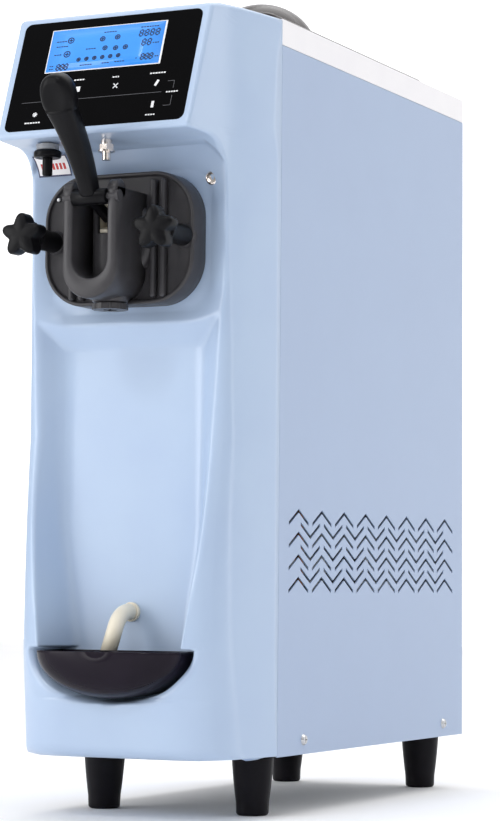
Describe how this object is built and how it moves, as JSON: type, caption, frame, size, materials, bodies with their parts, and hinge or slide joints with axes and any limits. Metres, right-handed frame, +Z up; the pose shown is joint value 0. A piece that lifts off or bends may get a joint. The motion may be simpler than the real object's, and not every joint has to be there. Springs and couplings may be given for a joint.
{
  "type": "soft-serve ice cream maker",
  "caption": "Narrow countertop soft-serve machine with a top hopper, sloped display, lever-operated dispensing head, drip tray and side vents.",
  "frame": {"origin": "on the table under the middle of the machine's overall length and width", "axes": "+X to the right seen from the front, +Y to the rear, +Z up"},
  "size_m": [0.2284, 0.64, 0.76],
  "materials": {
    "powder_blue_plastic": "moulded, soft gloss",
    "powder_blue_paint": "powder coated sheet steel",
    "white_plastic": "moulded, satin",
    "smoked_plastic": "smoked transparent",
    "black_plastic": "moulded, semi-gloss",
    "dark_tray_plastic": "moulded, glossy",
    "black_rubber": "moulded",
    "seal_rubber": "moulded",
    "display_glass": "black printed acrylic",
    "lcd": "backlit display",
    "circuit_board": "glass epoxy",
    "ivory_plastic": "natural acetal and silicone",
    "steel": "brushed",
    "bright_plating": "plated",
    "copper": "drawn tube",
    "aluminium": "stamped fins",
    "foam": "polyurethane foam",
    "grey_casting": "painted casting",
    "black_paint": "painted steel",
    "drive_rubber": "reinforced rubber",
    "red_plastic": "moulded"
  },
  "bodies": {
    "housing": {"front_shell": "powder_blue_plastic", "right_side_panel": "powder_blue_paint", "left_side_panel": "powder_blue_paint", "back_panel": "powder_blue_paint", "top_cover": "white_plastic", "hopper": "steel", "air_tube": "ivory_plastic", "base_pan": "steel", "inner_frame": "steel", "feet": "black_rubber", "side_screws": "bright_plating", "drain_tube": "ivory_plastic", "display_glass": "display_glass", "lcd_module": "lcd", "control_board": "circuit_board", "dispensing_head": "black_plastic", "pivot_pin": "bright_plating", "knob_studs": "steel", "head_seal": "seal_rubber", "freezing_cylinder": "steel", "evaporator_coil": "copper", "insulation_jacket": "foam", "shaft_seal": "black_rubber", "gearbox": "grey_casting", "motor": "black_paint", "drive_belt": "drive_rubber", "compressor": "black_paint", "compressor_mounts": "black_rubber", "condenser": "aluminium", "fan_shroud": "black_plastic", "fan_motor": "black_paint", "filter_drier": "copper", "refrigerant_pipes": "copper", "control_box": "black_paint", "power_inlet": "black_plastic", "switch_housing": "black_plastic", "rear_screws": "steel", "face_screw": "bright_plating", "stop_bolt": "bright_plating", "stop_bolt_nut": "bright_plating", "toggle_collar": "grey_casting"},
    "hopper_lid": {"hopper_lid": "smoked_plastic"},
    "drip_tray": {"drip_tray": "dark_tray_plastic"},
    "lever": {"lever": "black_plastic"},
    "plunger": {"valve_plunger": "ivory_plastic", "plunger_rings": "black_rubber"},
    "right_knob": {"right_star_knob": "black_plastic"},
    "left_knob": {"left_star_knob": "black_plastic"},
    "nozzle_cap": {"nozzle_cap": "black_plastic"},
    "beater": {"beater": "steel"},
    "gearbox_pulley": {"gearbox_pulley": "grey_casting"},
    "motor_pulley": {"motor_pulley": "grey_casting"},
    "fan_blade": {"fan_blade": "black_plastic"},
    "rocker": {"rocker": "red_plastic"},
    "toggle_knob": {"toggle_knob": "black_plastic"}
  },
  "joints": [
    {"name": "lever_pivot", "type": "hinge", "parent": "housing", "child": "lever", "pos_m": [0, -0.252, 0.528], "axis": [1, 0, 0], "range_deg": [0, 55]},
    {"name": "plunger_lift", "type": "slide", "parent": "housing", "child": "plunger", "axis": [0, 0, 1], "range_m": [0, 0.0334]},
    {"name": "right_knob_spin", "type": "hinge", "parent": "housing", "child": "right_knob", "pos_m": [0.064, -0.24, 0.498], "axis": [0, 1, 0], "continuous": true},
    {"name": "left_knob_spin", "type": "hinge", "parent": "housing", "child": "left_knob", "pos_m": [-0.064, -0.24, 0.498], "axis": [0, 1, 0], "continuous": true},
    {"name": "nozzle_cap_spin", "type": "hinge", "parent": "housing", "child": "nozzle_cap", "pos_m": [0, -0.216, 0.438], "axis": [0, 0, 1], "continuous": true},
    {"name": "beater_spin", "type": "hinge", "parent": "housing", "child": "beater", "pos_m": [0, 0, 0.498], "axis": [0, 1, 0], "continuous": true},
    {"name": "gearbox_pulley_spin", "type": "hinge", "parent": "housing", "child": "gearbox_pulley", "pos_m": [0, 0.152, 0.498], "axis": [0, 1, 0], "continuous": true},
    {"name": "motor_pulley_spin", "type": "hinge", "parent": "housing", "child": "motor_pulley", "pos_m": [0, 0.152, 0.33], "axis": [0, 1, 0], "continuous": true},
    {"name": "fan_spin", "type": "hinge", "parent": "housing", "child": "fan_blade", "pos_m": [0, 0.233, 0.16], "axis": [0, 1, 0], "continuous": true},
    {"name": "lid_lift", "type": "slide", "parent": "housing", "child": "hopper_lid", "axis": [0, 0, 1], "range_m": [0, 0.15]},
    {"name": "tray_slide", "type": "slide", "parent": "housing", "child": "drip_tray", "axis": [0, -1, 0], "range_m": [0, 0.1]},
    {"name": "rocker_tilt", "type": "hinge", "parent": "housing", "child": "rocker", "pos_m": [-0.0165, 0.312, 0.33345], "axis": [1, 0, 0], "range_deg": [0, 12]},
    {"name": "toggle_turn", "type": "hinge", "parent": "housing", "child": "toggle_knob", "pos_m": [-0.0575, -0.228, 0.575], "axis": [0, 0, 1], "range_deg": [-90, 90]}
  ],
  "couplings": [
    {"joint": "plunger_lift", "follows": "lever_pivot", "m_per_rad": 0.0346},
    {"joint": "gearbox_pulley_spin", "follows": "beater_spin", "ratio": 3},
    {"joint": "motor_pulley_spin", "follows": "beater_spin", "ratio": 9}
  ]
}
